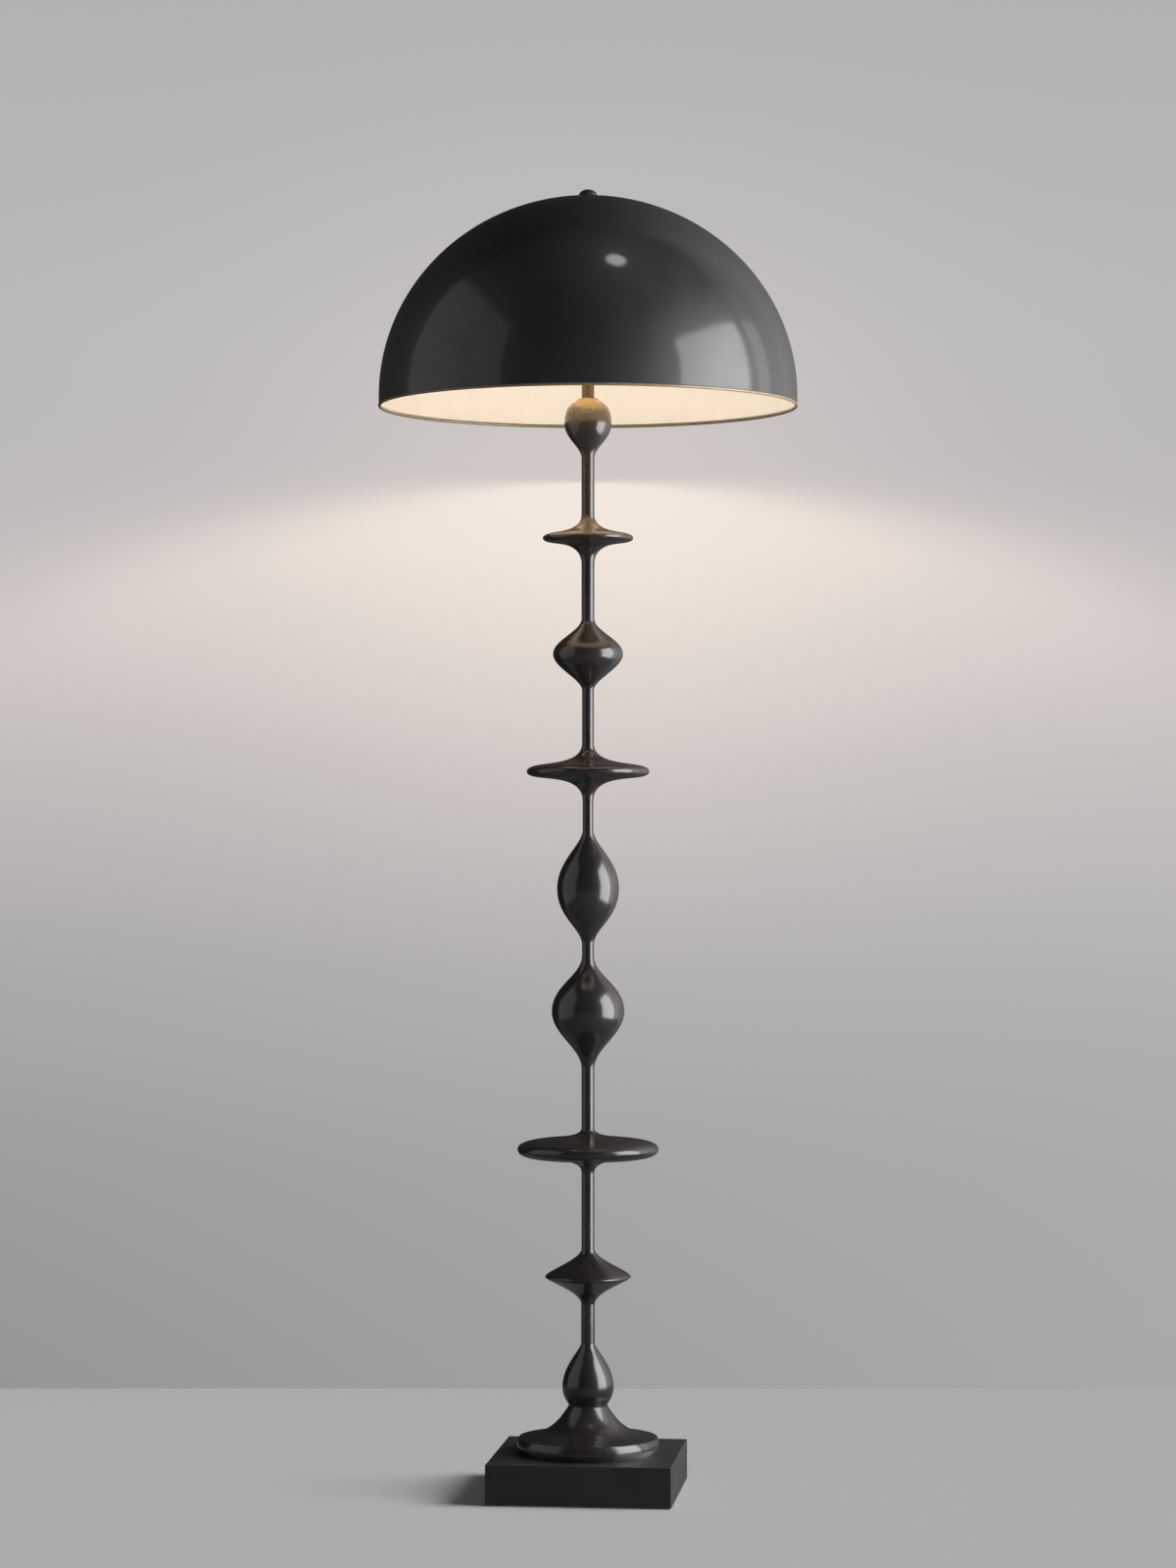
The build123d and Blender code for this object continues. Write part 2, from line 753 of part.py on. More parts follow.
def shade_shell():
    """Spun dome with a rolled rim and a hole for the stud."""
    rim_middle = rim_bottom + rim_radius
    section = make_face(coat_outline(0, shade_wall, rim_middle, stud_radius + slip))
    section += Pos(shade_radius - rim_radius, rim_middle) * Circle(rim_radius)
    return revolve(Plane.XZ * section, Axis.Z)


def shade_lining():
    """Pale coat inside the dome, down to the rolled rim."""
    foot = rim_bottom + 2 * rim_radius + slip
    outer = shade_wall + film
    return turned(coat_outline(outer, outer + lining_wall, foot, stud_radius + slip))


def shade_crown_plate():
    """Stiffening washer between the lining and the stud block."""
    return ring(seat_level, crown_plate_thickness, crown_plate_radius, stud_radius + slip)


def finial_washer():
    """Flange between the shade and the knob, with rounded edges."""
    washer = ring(crown_top, finial_washer_thickness, finial_washer_radius, stud_radius + slip)
    rims = washer.edges().filter_by(GeomType.CIRCLE).sort_by(SortBy.LENGTH)[-2:]
    return fillet(rims, finial_washer_thickness / 3)


def finial_knob():
    """Low domed knob, tapped for the stud."""
    side_top = washer_top + finial_side
    top = side_top + finial_dome
    knob = turned(
        [
            Line((0, washer_top), (finial_base_radius, washer_top)),
            bead_curve(finial_base_radius, washer_top, finial_radius, side_top, 0.3, 0.4),
            Bezier(
                (finial_radius, side_top),
                (finial_radius, side_top + 0.5 * finial_dome),
                (0.5 * finial_radius, top),
                (0, top),
            ),
            Line((0, top), (0, washer_top)),
        ]
    )
    return knob - ring(washer_top, stud_reach + finial_hole_gap, stud_radius + running)


# ---------------------------------------------------------------- all nodes

nodes = {
    "base_shell": base_shell(),
    "base_weight": base_weight(),
    "bottom_plate": bottom_plate(),
    "bottom_plate_screws": bottom_plate_screws(),
    "foot_pads": foot_pads(),
    "cord_bushing": cord_bushing(),
    "cord_bushing_nut": cord_bushing_nut(),
    "terminal_block": terminal_block(),
    "inner_lead": inner_lead(socket_body_bottom),
    "pipe_washer": ring(washer_bottom, washer_thickness, washer_radius, tube_hole),
    "pipe_nut": hex_nut(washer_bottom - nut_height, nut_height, nut_flats, tube_radius + running),
    "lamp_pipe_lower": lamp_pipe(tube_bottom, tube_joint),
    "pipe_coupling": pipe_coupling(),
    "lamp_pipe_upper": lamp_pipe(tube_joint, tube_top),
    **column,
    "stem_tube": ring(column_top, stem_length, stem_radius, tube_hole),
    "stack_nut": hex_nut(stem_top, stack_nut_height, stack_nut_flats, tube_radius + running),
    "harp_saddle": harp_saddle(),
    "harp_wire": harp_wire(),
    "harp_sleeve_left": harp_sleeve(-1),
    "harp_sleeve_right": harp_sleeve(1),
    "harp_top_stud": harp_top_stud(),
    "socket_cap": socket_cap(),
    "socket_shell": socket_shell(),
    "socket_insulator": socket_insulator(),
    "socket_body": socket_body(),
    "terminal_screws": terminal_screws(),
    "screw_shell": screw_shell(),
    "centre_contact": centre_contact(),
    "switch_shaft": switch_shaft(),
    "switch_knob": switch_knob(),
    **bulb_pieces(),
    "shade_shell": shade_shell(),
    "shade_lining": shade_lining(),
    "shade_crown_plate": shade_crown_plate(),
    "finial_washer": finial_washer(),
    "finial_knob": finial_knob(),
}

for name, solid in nodes.items():
    export_step(solid, f"parts/{name}.step")

# Levels that the joints, mounts and openings are stated from.
for label, value in {
    "column_top": column_top,
    "saddle_top": saddle_top,
    "switch_level": switch_level,
    "bulb_bottom": bulb_bottom,
    "shell_top": shell_top,
    "seat_level": seat_level,
    "crown_top": crown_top,
    "rim_bottom": rim_bottom,
    "tube_bottom": tube_bottom,
}.items():
    print(label, round(value, 3))
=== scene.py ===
import json
from math import asin, atan2, cos, hypot, pi, radians, sin, sqrt

import bmesh
import bpy
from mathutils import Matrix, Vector

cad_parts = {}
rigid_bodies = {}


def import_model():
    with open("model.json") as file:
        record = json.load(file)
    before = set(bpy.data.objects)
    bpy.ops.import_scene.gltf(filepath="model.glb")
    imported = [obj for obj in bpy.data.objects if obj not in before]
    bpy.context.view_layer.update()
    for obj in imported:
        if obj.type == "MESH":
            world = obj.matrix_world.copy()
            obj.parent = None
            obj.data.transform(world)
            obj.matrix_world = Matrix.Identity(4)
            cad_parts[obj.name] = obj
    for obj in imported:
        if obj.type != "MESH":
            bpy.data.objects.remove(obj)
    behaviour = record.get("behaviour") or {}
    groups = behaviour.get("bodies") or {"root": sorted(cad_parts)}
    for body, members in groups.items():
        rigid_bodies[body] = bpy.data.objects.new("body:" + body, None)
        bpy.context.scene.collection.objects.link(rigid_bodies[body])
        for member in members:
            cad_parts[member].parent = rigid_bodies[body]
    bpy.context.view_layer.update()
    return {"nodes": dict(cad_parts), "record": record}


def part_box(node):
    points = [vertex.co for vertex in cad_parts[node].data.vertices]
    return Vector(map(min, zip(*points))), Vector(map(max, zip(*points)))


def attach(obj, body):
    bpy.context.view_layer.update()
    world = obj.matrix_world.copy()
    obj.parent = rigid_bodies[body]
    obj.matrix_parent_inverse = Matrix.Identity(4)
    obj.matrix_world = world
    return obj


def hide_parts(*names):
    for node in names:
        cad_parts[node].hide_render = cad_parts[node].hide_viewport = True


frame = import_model()

# A mushroom floor lamp: square plinth, turned column, spun dome with a pale inside, low finial.
# Lengths are in metres. The front is -Y. Turned pieces take their sizes from the CAD nodes they stand for.

MM = 0.001
LATHE_SEGMENTS = 192
LATHE_CREASE = 35.0

# ---------------------------------------------------------------- materials


def srgb(red, green, blue):
    """Linear colour from 8-bit sRGB values."""
    linear = []
    for value in (red, green, blue):
        share = value / 255
        linear.append(share / 12.92 if share <= 0.04045 else ((share + 0.055) / 1.055) ** 2.4)
    return (*linear, 1.0)


class Graph:
    """A material's nodes, with short calls to add and link them."""

    def __init__(self, name):
        self.material = bpy.data.materials.new(name)
        self.material.use_nodes = True
        self.tree = self.material.node_tree
        self.shader = self.tree.nodes["Principled BSDF"]
        self.output = self.tree.nodes["Material Output"]

    def node(self, kind, inputs=None, **settings):
        """Adds a node with its inputs fed and its settings made."""
        made = self.tree.nodes.new(kind)
        for key, value in settings.items():
            setattr(made, key, value)
        for key, value in (inputs or {}).items():
            self.feed(made, key, value)
        return made

    def feed(self, node, key, value):
        """Links a socket into an input, or sets the input to a plain value."""
        socket = node.inputs[key]
        if isinstance(value, bpy.types.NodeSocket):
            self.tree.links.new(value, socket)
        else:
            socket.default_value = value

    def set(self, **inputs):
        """Sets the shader's sockets. An underscore stands for a space."""
        for key, value in inputs.items():
            self.feed(self.shader, key.replace("_", " "), value)

    def place(self, scale=(1.0, 1.0, 1.0)):
        """The object's own coordinates, in metres, stretched by the scale."""
        coordinates = self.node("ShaderNodeTexCoord")
        mapping = self.node("ShaderNodeMapping", {"Vector": coordinates.outputs["Object"], "Scale": scale})
        return mapping.outputs["Vector"]

    def noise(self, per_metre, detail=3.0, scale=(1.0, 1.0, 1.0)):
        """Soft noise of about that many grains per metre."""
        inputs = {"Vector": self.place(scale), "Scale": per_metre, "Detail": detail, "Roughness": 0.55}
        return self.node("ShaderNodeTexNoise", inputs).outputs["Fac"]

    def ramp(self, factor, *stops):
        """Maps a factor through stops of (position, colour or grey)."""
        made = self.node("ShaderNodeValToRGB", {"Fac": factor})
        elements = made.color_ramp.elements
        while len(elements) < len(stops):
            elements.new(0.5)
        for element, (position, value) in zip(elements, stops):
            element.position = position
            element.color = value if hasattr(value, "__len__") else (value, value, value, 1.0)
        return made.outputs["Color"]

    def range(self, factor, low, high, to_low, to_high, curve="LINEAR"):
        """Maps a value from one range to another and clamps it there."""
        inputs = {"Value": factor, "From Min": low, "From Max": high, "To Min": to_low, "To Max": to_high}
        return self.node("ShaderNodeMapRange", inputs, interpolation_type=curve).outputs["Result"]

    def math(self, operation, first, second=0.0, third=0.0):
        """One step of arithmetic."""
        made = self.node("ShaderNodeMath", {0: first, 1: second, 2: third}, operation=operation)
        return made.outputs["Value"]

    def bumps(self, *layers):
        """Stacks bumps, each (height field, height in metres), and links the normal."""
        normal = None
        for height, distance in layers:
            inputs = {"Height": height, "Distance": distance, "Strength": 1.0}
            if normal is not None:
                inputs["Normal"] = normal
            normal = self.node("ShaderNodeBump", inputs).outputs["Normal"]
        self.feed(self.shader, "Normal", normal)
        return normal


def column_lacquer():
    """Deep black-brown lacquer over turned metal: soft waves, fine turning lines, a clear gloss coat."""
    graph = Graph("column_lacquer")
    cloud = graph.noise(38.0, 4.0)
    colour = graph.ramp(cloud, (0.35, srgb(25, 22, 22)), (0.68, srgb(34, 30, 29)))
    rough = graph.range(graph.noise(260.0, 2.0), 0.3, 0.7, 0.40, 0.52)
    graph.set(Base_Color=colour, Roughness=rough, Specular_IOR_Level=0.15)
    graph.set(Coat_Weight=1.0, Coat_Roughness=0.18, Coat_IOR=1.68)
    waves = graph.noise(34.0, 2.0)
    lines = graph.noise(16.0, 2.0, scale=(1.0, 1.0, 60.0))
    normal = graph.bumps((waves, 0.00020), (lines, 0.000010))
    graph.feed(graph.shader, "Coat Normal", normal)
    return graph.material


def satin_black():
    """Satin black powder coat with a fine grain."""
    graph = Graph("satin_black")
    grain = graph.noise(900.0, 3.0)
    colour = graph.ramp(graph.noise(24.0, 4.0), (0.3, srgb(22, 22, 23)), (0.7, srgb(30, 30, 31)))
    rough = graph.range(graph.noise(60.0, 3.0), 0.3, 0.7, 0.34, 0.44)
    graph.set(Base_Color=colour, Roughness=rough, Specular_IOR_Level=0.85)
    graph.bumps((grain, 0.00004))
    return graph.material


def shade_enamel():
    """Gloss black enamel with a faint orange peel, and a painted bronze sheen on the rolled rim that stands
    for the bulb's light caught there.
    """
    graph = Graph("shade_enamel")
    black = graph.ramp(graph.noise(12.0, 4.0), (0.3, srgb(21, 21, 22)), (0.7, srgb(27, 27, 28)))
    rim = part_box("shade_shell")[0].z
    height = graph.node("ShaderNodeSeparateXYZ", {"Vector": graph.place()}).outputs["Z"]
    # Painted sheen: the lowest 2.4 mm of the dome, fading out by 3.6 mm, is coloured light bronze in place
    # of the bulb's light on the rolled rim.
    painted_rim_sheen = graph.range(height, rim + 0.0024, rim + 0.0036, 1.0, 0.0)
    painted_rim_sheen = graph.math("MULTIPLY", painted_rim_sheen, graph.range(height, rim - 0.001, rim, 0.0, 1.0))
    bronze = graph.ramp(graph.noise(300.0), (0.3, srgb(92, 78, 54)), (0.7, srgb(118, 102, 72)))
    colour = graph.node("ShaderNodeMix", data_type="RGBA")
    for key, value in ((0, painted_rim_sheen), (6, black), (7, bronze)):
        graph.feed(colour, key, value)
    rough = graph.range(graph.noise(30.0, 3.0), 0.3, 0.7, 0.46, 0.56)
    graph.set(Base_Color=colour.outputs[2], Roughness=rough, Specular_IOR_Level=0.68)
    graph.set(Coat_Weight=0.60, Coat_Roughness=0.10, Coat_IOR=1.5)
    waves = graph.noise(26.0, 2.0)
    dimples = graph.noise(80.0, 2.0)
    peel = graph.noise(190.0, 2.0)
    normal = graph.bumps((waves, 0.00016), (dimples, 0.00006), (peel, 0.000024))
    graph.feed(graph.shader, "Coat Normal", normal)
    return graph.material


def plain_finish(name, colours, roughness, grain, depth, metallic=0.0, specular=0.5):
    """A finish of two close colours, a roughness range and a bump of the given grain and depth."""
    graph = Graph(name)
    tint = graph.ramp(graph.noise(grain / 8, 4.0), (0.3, colours[0]), (0.7, colours[1]))
    rough = graph.range(graph.noise(grain / 3), 0.3, 0.7, *roughness)
    graph.set(Base_Color=tint, Roughness=rough, Metallic=metallic, Specular_IOR_Level=specular)
    graph.bumps((graph.noise(grain), depth))
    return graph.material


def globe_glass():
    """Frosted opal glass, lit warm from inside."""
    graph = Graph("globe_glass")
    tint = graph.ramp(graph.noise(60.0, 2.0), (0.3, srgb(255, 228, 186)), (0.7, srgb(255, 234, 198)))
    graph.set(Base_Color=srgb(250, 246, 238), Roughness=0.28, Emission_Color=tint, Emission_Strength=1.6)
    graph.bumps((graph.noise(900.0, 2.0), 0.00001))
    return graph.material


MATERIALS = {
    "column_lacquer": column_lacquer(),
    "satin_black": satin_black(),
    "shade_enamel": shade_enamel(),
    "shade_white": plain_finish(
        "shade_white",
        (srgb(241, 237, 229), srgb(245, 241, 233)),
        (0.60, 0.70),
        300.0,
        0.00001,
        specular=0.15,
    ),
    "dark_bronze": plain_finish(
        "dark_bronze", (srgb(104, 82, 54), srgb(132, 106, 72)), (0.28, 0.40), 400.0, 0.00001, 0.7
    ),
    "brass": plain_finish(
        "brass", (srgb(196, 164, 104), srgb(214, 184, 122)), (0.22, 0.34), 500.0, 0.00001, 1.0
    ),
    "zinc": plain_finish(
        "zinc", (srgb(168, 170, 174), srgb(196, 197, 200)), (0.30, 0.45), 500.0, 0.00001, 1.0
    ),
    "raw_iron": plain_finish(
        "raw_iron", (srgb(58, 57, 56), srgb(82, 80, 78)), (0.60, 0.80), 260.0, 0.00018, 0.6
    ),
    "pad_rubber": plain_finish(
        "pad_rubber", (srgb(40, 40, 41), srgb(52, 52, 53)), (0.70, 0.85), 900.0, 0.00003
    ),
    "black_plastic": plain_finish(
        "black_plastic", (srgb(30, 30, 31), srgb(38, 38, 39)), (0.32, 0.44), 1200.0, 0.00001
    ),
    "white_plastic": plain_finish(
        "white_plastic", (srgb(226, 225, 220), srgb(236, 235, 231)), (0.30, 0.42), 900.0, 0.00001
    ),
    "lead_sheath": plain_finish(
        "lead_sheath", (srgb(52, 46, 40), srgb(64, 57, 50)), (0.50, 0.65), 900.0, 0.00002
    ),
    "liner_card": plain_finish(
        "liner_card", (srgb(166, 140, 108), srgb(186, 160, 126)), (0.75, 0.90), 700.0, 0.00004
    ),
    "black_glass": plain_finish(
        "black_glass", (srgb(20, 20, 24), srgb(28, 28, 32)), (0.08, 0.16), 300.0, 0.00001
    ),
    "cap_metal": plain_finish(
        "cap_metal", (srgb(208, 209, 212), srgb(226, 227, 229)), (0.18, 0.30), 600.0, 0.00001, 1.0
    ),
    "globe_glass": globe_glass(),
}

# ---------------------------------------------------------------- mesh helpers


def finish_piece(name, mesh, body, slot, *nodes):
    """Adds the mesh as a piece of a body that stands for the CAD nodes."""
    piece = bpy.data.objects.new(name, mesh)
    bpy.context.scene.collection.objects.link(piece)
    mesh.materials.append(MATERIALS[slot])
    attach(piece, body)
    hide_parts(*nodes)
    return piece


def lathe_mesh(name, outline, segments=LATHE_SEGMENTS):
    """Revolves a closed outline of (radius, height) about the lamp's axis. Points at radius 0 are shared."""
    shape = bmesh.new()
    rings = []
    for radius, height in outline:
        if radius < 1e-7:
            rings.append([shape.verts.new((0.0, 0.0, height))])
            continue
        turns = [2 * pi * index / segments for index in range(segments)]
        rings.append([shape.verts.new((radius * cos(turn), radius * sin(turn), height)) for turn in turns])
    for first, second in zip(rings, rings[1:] + rings[:1]):
        join_rings(shape, first, second, segments)
    bmesh.ops.recalc_face_normals(shape, faces=shape.faces)
    mesh = bpy.data.meshes.new(name)
    shape.to_mesh(mesh)
    shape.free()
    shade_smooth(mesh, LATHE_CREASE)
    return mesh


def join_rings(shape, first, second, segments):
    """Faces between two rings, either of which may be a single point on the axis."""
    if len(first) == 1 and len(second) == 1:
        return
    for index in range(segments):
        following = (index + 1) % segments
        if len(first) == 1:
            shape.faces.new((first[0], second[index], second[following]))
        elif len(second) == 1:
            shape.faces.new((first[index], second[0], first[following]))
        else:
            shape.faces.new((first[index], second[index], second[following], first[following]))


def shade_smooth(mesh, crease_angle):
    """Smooth shading with sharp edges where faces turn by more than the angle."""
    shape = bmesh.new()
    shape.from_mesh(mesh)
    for edge in shape.edges:
        edge.smooth = len(edge.link_faces) == 2 and edge.calc_face_angle() < radians(crease_angle)
    for face in shape.faces:
        face.smooth = True
    shape.to_mesh(mesh)
    shape.free()


def bezier(first, first_handle, second_handle, second, steps):
    """Points along a cubic curve, both ends included."""
    points = []
    for step in range(steps + 1):
        t = step / steps
        weights = ((1 - t) ** 3, 3 * t * (1 - t) ** 2, 3 * t * t * (1 - t), t**3)
        corners = (first, first_handle, second_handle, second)
        points.append(tuple(sum(w * corner[axis] for w, corner in zip(weights, corners)) for axis in (0, 1)))
    return points


def bead_side(end_radius, end_z, belly_radius, belly_z, end_pull, belly_pull, lean=90.0, steps=40):
    """Half of a bead's side, from its end to its belly: it leaves its end at the lean."""
    reach = abs(belly_z - end_z)
    rise = 1 if belly_z > end_z else -1
    end_handle = (
        end_radius + end_pull * reach * cos(radians(lean)),
        end_z + rise * end_pull * reach * sin(radians(lean)),
    )
    belly_handle = (belly_radius, belly_z - rise * belly_pull * reach)
    return bezier((end_radius, end_z), end_handle, belly_handle, (belly_radius, belly_z), steps)


def through_arc(first, middle, last, steps):
    """Points along the circle through three points, from the first to the last."""
    (ax, ay), (bx, by), (cx, cy) = first, middle, last
    d = 2 * (ax * (by - cy) + bx * (cy - ay) + cx * (ay - by))
    ux = ((ax**2 + ay**2) * (by - cy) + (bx**2 + by**2) * (cy - ay) + (cx**2 + cy**2) * (ay - by)) / d
    uy = ((ax**2 + ay**2) * (cx - bx) + (bx**2 + by**2) * (ax - cx) + (cx**2 + cy**2) * (bx - ax)) / d
    radius = hypot(ax - ux, ay - uy)
    start, end = atan2(ay - uy, ax - ux), atan2(cy - uy, cx - ux)
    angles = [start + (end - start) * step / steps for step in range(steps + 1)]
    return [(ux + radius * cos(angle), uy + radius * sin(angle)) for angle in angles]


# ---------------------------------------------------------------- column

TUBE_HOLE = 5.2 * MM

# Beads, bottom to top: height below the belly, then each side's curve as in the solids.
BEADS = {
    "teardrop_lower": (22.0 * MM, (0.18, 0.62), (0.15, 0.49)),
    "bicone_disc": (33.0 * MM, (0.44, 0.12), (0.38, 0.18)),
    "saucer_large": (28.6 * MM, (0.88, 0.72), (0.67, 0.70)),
    "onion_large": (68.9 * MM, (0.36, 0.40), (0.36, 0.48)),
    "vase_bead": (69.2 * MM, (0.31, 0.53), (0.25, 0.48)),
    "saucer_medium": (35.8 * MM, (1.06, 0.43), (0.93, 0.44)),
    "onion_small": (43.9 * MM, (0.30, 0.38), (0.36, 0.41)),
    "saucer_small": (32.3 * MM, (1.07, 0.33), (0.90, 0.36)),
    "teardrop_top": (42.1 * MM, (0.32, 0.44), (0.29, 0.77, 48.0)),
}
TEARDROP_SEAT = 23.7 * MM
TEARDROP_CROWN = 12.5 * MM


def column_piece(name, outline):
    """A lacquered piece of the column that stands for the CAD node of its name."""
    finish_piece(f"{name}_turned", lathe_mesh(name, outline), "stand", "column_lacquer", name)


def build_beads():
    """Each bead, its ends as wide as the necks that it meets."""
    for index, (name, (below, low_curve, high_curve)) in enumerate(BEADS.items()):
        low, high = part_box(name)
        belly_z = low.z + below
        neck_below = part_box(f"neck_{index}")[1].x if index else TEARDROP_SEAT
        neck_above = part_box(f"neck_{index + 1}")[1].x if name != "teardrop_top" else TEARDROP_CROWN
        lower = bead_side(neck_below, low.z, high.x, belly_z, *low_curve)
        upper = bead_side(neck_above, high.z, high.x, belly_z, *high_curve)
        outline = lower + upper[-2::-1] + [(TUBE_HOLE, high.z), (TUBE_HOLE, low.z)]
        column_piece(name, outline)


def build_necks():
    """Plain round necks, each with a hairline joint at its ends."""
    joint, rows = 0.25 * MM, 12
    for index in range(1, 9):
        low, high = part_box(f"neck_{index}")
        outline = [(TUBE_HOLE, low.z), (high.x - joint, low.z), (high.x, low.z + joint)]
        outline += [(high.x, low.z + (high.z - low.z) * row / rows) for row in range(1, rows)]
        outline += [(high.x, high.z - joint), (high.x - joint, high.z), (TUBE_HOLE, high.z)]
        column_piece(f"neck_{index}", outline)


def build_foot():
    """Flared foot: rounded band, crease, then a hollow flare up to its neck."""
    low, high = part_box("foot_bell")
    band, neck, sole, crease, wall = 18.0 * MM, 23.1 * MM, 84.6 * MM, 84.0 * MM, 6.0 * MM
    recess = 22.0 * MM
    crease_z = low.z + band
    rise, run = high.z - crease_z, crease - neck
    side = through_arc((sole, low.z), (high.x, low.z + 0.45 * band), (crease, crease_z), 20)
    flare = bezier(
        (crease, crease_z),
        (crease - 0.4 * run, crease_z + 0.12 * rise),
        (neck + 0.34 * run, crease_z + 0.12 * rise),
        (neck, high.z),
        48,
    )
    inside = [
        (TUBE_HOLE, high.z),
        (TUBE_HOLE, low.z),
        (TUBE_HOLE + wall, low.z),
        (TUBE_HOLE + wall, low.z + recess),
        (crease - wall, low.z + band - wall),
        (crease - wall, low.z),
    ]
    column_piece("foot_bell", side + flare[1:] + inside)


def build_stem():
    """Bronzed tube from the top bead to the harp's nut."""
    low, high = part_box("stem_tube")
    edge = 0.4 * MM
    outline = [
        (TUBE_HOLE, low.z),
        (high.x, low.z),
        (high.x, high.z - edge),
        (high.x - edge, high.z),
        (TUBE_HOLE, high.z),
    ]
    finish_piece("stem_tube_turned", lathe_mesh("stem_tube", outline), "stand", "dark_bronze", "stem_tube")


# ---------------------------------------------------------------- plinth


def build_plinth():
    """Folded steel cover with fine rounded edges, open below."""
    low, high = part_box("base_shell")
    wall = 2.0 * MM
    edge = 0.9 * MM
    shape = bmesh.new()
    bmesh.ops.create_cube(shape, size=1.0)
    for vert in shape.verts:
        vert.co.x *= high.x - low.x
        vert.co.y *= high.y - low.y
        vert.co.z = high.z if vert.co.z > 0 else low.z
    underside = [face for face in shape.faces if face.normal.z < -0.5]
    bmesh.ops.inset_region(shape, faces=underside, thickness=wall)
    outer = [side for side in shape.edges if is_outer_edge(side, low, high)]
    deep = bmesh.ops.extrude_face_region(shape, geom=underside)
    for item in deep["geom"]:
        if isinstance(item, bmesh.types.BMVert):
            item.co.z = high.z - wall
    bmesh.ops.delete(shape, geom=underside, context="FACES_ONLY")
    bmesh.ops.bevel(shape, geom=outer, offset=edge, segments=4, profile=0.5, affect="EDGES")
    bmesh.ops.recalc_face_normals(shape, faces=shape.faces)
    mesh = bpy.data.meshes.new("base_shell")
    shape.to_mesh(mesh)
    shape.free()
    shade_smooth(mesh, 30.0)
    piece = finish_piece("base_shell_cover", mesh, "stand", "satin_black", "base_shell")
    weighted = piece.modifiers.new("even_normals", "WEIGHTED_NORMAL")
    weighted.keep_sharp = True


def is_outer_edge(edge, low, high):
    """True for the cover's upright corners and top rim."""
    first, second = (vert.co for vert in edge.verts)
    near = 1e-6
    corners = [abs(abs(co.x) - high.x) < near and abs(abs(co.y) - high.y) < near for co in (first, second)]
    upright = all(corners) and abs(first.z - second.z) > (high.z - low.z) / 2
    on_top = abs(first.z - high.z) < near and abs(second.z - high.z) < near
    return upright or on_top


# ---------------------------------------------------------------- shade, finial and bulb

SHADE_WALL = 1.2 * MM
LINING_WALL = 0.3 * MM
COAT_GAP = 0.05 * MM
RIM_RADIUS = 1.9 * MM
RIM_PROUD = 0.8 * MM
SKIRT = 13.0 * MM
FLAT_CROWN = 20.0 * MM
STUD_HOLE = 3.4 * MM


def dome_points(depth, steps=72):
    """The dome's arc at a depth under its outer face, from its side up to the flat crown."""
    low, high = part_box("shade_shell")
    centre = low.z + SKIRT
    side = high.x - RIM_PROUD
    full_rise = (high.z - centre) / sqrt(1 - (FLAT_CROWN / side) ** 2)
    rise = full_rise - depth
    last = asin((high.z - depth - centre) / rise)
    angles = [last * step / steps for step in range(steps + 1)]
    return [((side - depth) * cos(angle), centre + rise * sin(angle)) for angle in angles]


def build_shade():
    """Spun dome whose edge rolls into a bead at the rim."""
    low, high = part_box("shade_shell")
    outer = dome_points(0.0)
    inner = dome_points(SHADE_WALL)
    middle = (high.x - RIM_RADIUS, low.z + RIM_RADIUS)
    outer_meet = asin((outer[0][0] - middle[0]) / RIM_RADIUS)
    inner_meet = -asin((middle[0] - inner[0][0]) / RIM_RADIUS)
    steps = 28
    roll = []
    for step in range(steps + 1):
        angle = inner_meet - (2 * pi + inner_meet - outer_meet) * step / steps
        roll.append((middle[0] + RIM_RADIUS * sin(angle), middle[1] + RIM_RADIUS * cos(angle)))
    crown = [(STUD_HOLE, outer[-1][1]), (STUD_HOLE, inner[-1][1])]
    outline = outer + crown + inner[::-1] + roll
    mesh = lathe_mesh("shade_shell", outline, 288)
    finish_piece("shade_dome", mesh, "shade", "shade_enamel", "shade_shell")


def build_lining():
    """Pale coat inside the dome, down to the rolled rim."""
    low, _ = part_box("shade_lining")
    outer = dome_points(SHADE_WALL + COAT_GAP)
    inner = dome_points(SHADE_WALL + COAT_GAP + LINING_WALL)
    crown = [(STUD_HOLE, outer[-1][1]), (STUD_HOLE, inner[-1][1])]
    outline = outer + crown + inner[::-1] + [(inner[0][0], low.z), (outer[0][0], low.z)]
    mesh = lathe_mesh("shade_lining", outline, 288)
    finish_piece("shade_inner_coat", mesh, "shade", "shade_white", "shade_lining")


def build_finial():
    """Flange with rounded edges, and a low domed knob tapped for the stud."""
    low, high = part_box("finial_washer")
    edge = (high.z - low.z) / 2
    outline = [(STUD_HOLE, low.z), (high.x - edge, low.z)]
    for step in range(1, 12):
        angle = pi * step / 12
        outline.append((high.x - edge + edge * sin(angle), low.z + edge - edge * cos(angle)))
    outline += [(high.x - edge, high.z), (STUD_HOLE, high.z)]
    mesh = lathe_mesh("finial_washer", outline)
    finish_piece("finial_flange_round", mesh, "finial_flange", "shade_enamel", "finial_washer")
    low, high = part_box("finial_knob")
    side_radius, side_rise, tap, tap_depth = 11.0 * MM, 2.2 * MM, 3.16 * MM, 6.6 * MM
    side = bead_side(high.x, low.z, side_radius, low.z + side_rise, 0.3, 0.4, steps=16)
    rise = high.z - low.z - side_rise
    dome = bezier(
        (side_radius, low.z + side_rise),
        (side_radius, low.z + side_rise + 0.5 * rise),
        (0.5 * side_radius, high.z),
        (0.0, high.z),
        24,
    )
    outline = side + dome[1:] + [(0.0, low.z + tap_depth), (tap, low.z + tap_depth), (tap, low.z)]
    mesh = lathe_mesh("finial_knob", outline, 96)
    finish_piece("finial_knob_round", mesh, "finial", "shade_enamel", "finial_knob")


